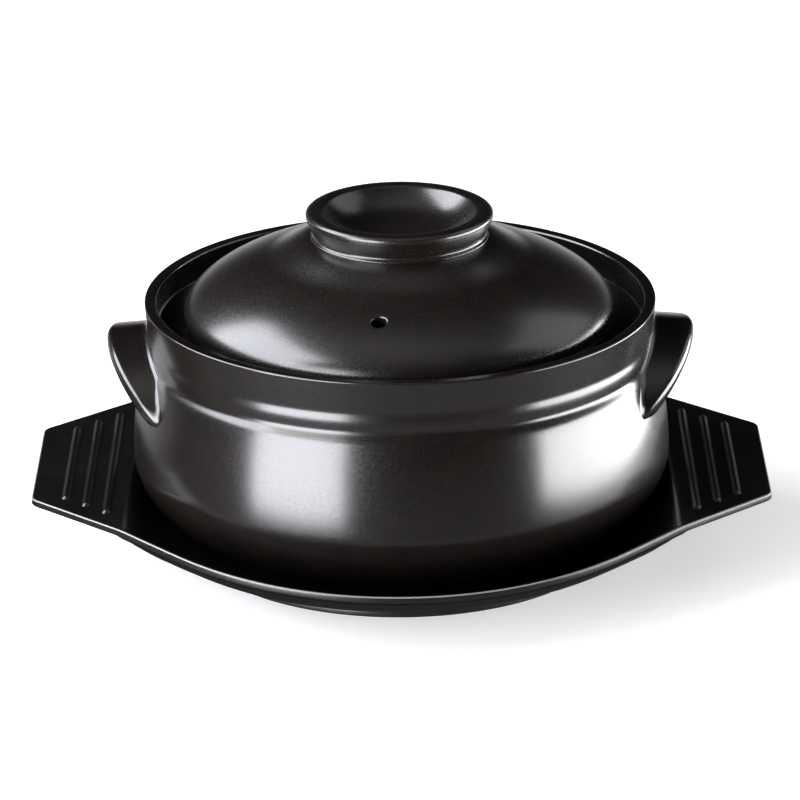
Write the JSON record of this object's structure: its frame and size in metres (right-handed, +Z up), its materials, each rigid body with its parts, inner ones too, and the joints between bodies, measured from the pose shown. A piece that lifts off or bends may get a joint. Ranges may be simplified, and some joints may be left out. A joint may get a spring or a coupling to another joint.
{
  "type": "ceramic stew pot",
  "caption": "Dark glazed ceramic stew pot with ear lugs and a domed inset lid with a ring grip, standing on a black serving tray with winged, ribbed ends.",
  "frame": {"origin": "on the table under the middle of the tray, the middle of the bounding box's bottom face", "axes": "+X along the tray's wings, towards the right lug; -Y towards the front, where the lid's steam vent is; +Z up"},
  "size_m": [0.274, 0.239, 0.1308],
  "materials": {
    "pot_glaze": "semi-matte black-brown glaze with a fine metallic speckle",
    "lid_glaze": "semi-matte black-brown glaze with a fine metallic speckle",
    "tray_plastic": "satin black moulding"
  },
  "bodies": {
    "tray": {"serving_tray": "tray_plastic"},
    "pot": {"pot_basin": "pot_glaze", "pot_bowl": "pot_glaze", "pot_collar": "pot_glaze", "pot_ledge": "pot_glaze", "lug_left": "pot_glaze", "lug_right": "pot_glaze"},
    "lid": {"lid_dome": "lid_glaze", "lid_flange": "lid_glaze", "lid_grip_ring": "lid_glaze"}
  },
  "joints": [
    {"name": "pot_lift", "type": "slide", "parent": "tray", "child": "pot", "axis": [0, 0, 1], "range_m": [0, 0.1]},
    {"name": "lid_lift", "type": "slide", "parent": "pot", "child": "lid", "axis": [0, 0, 1], "range_m": [0, 0.08]}
  ]
}
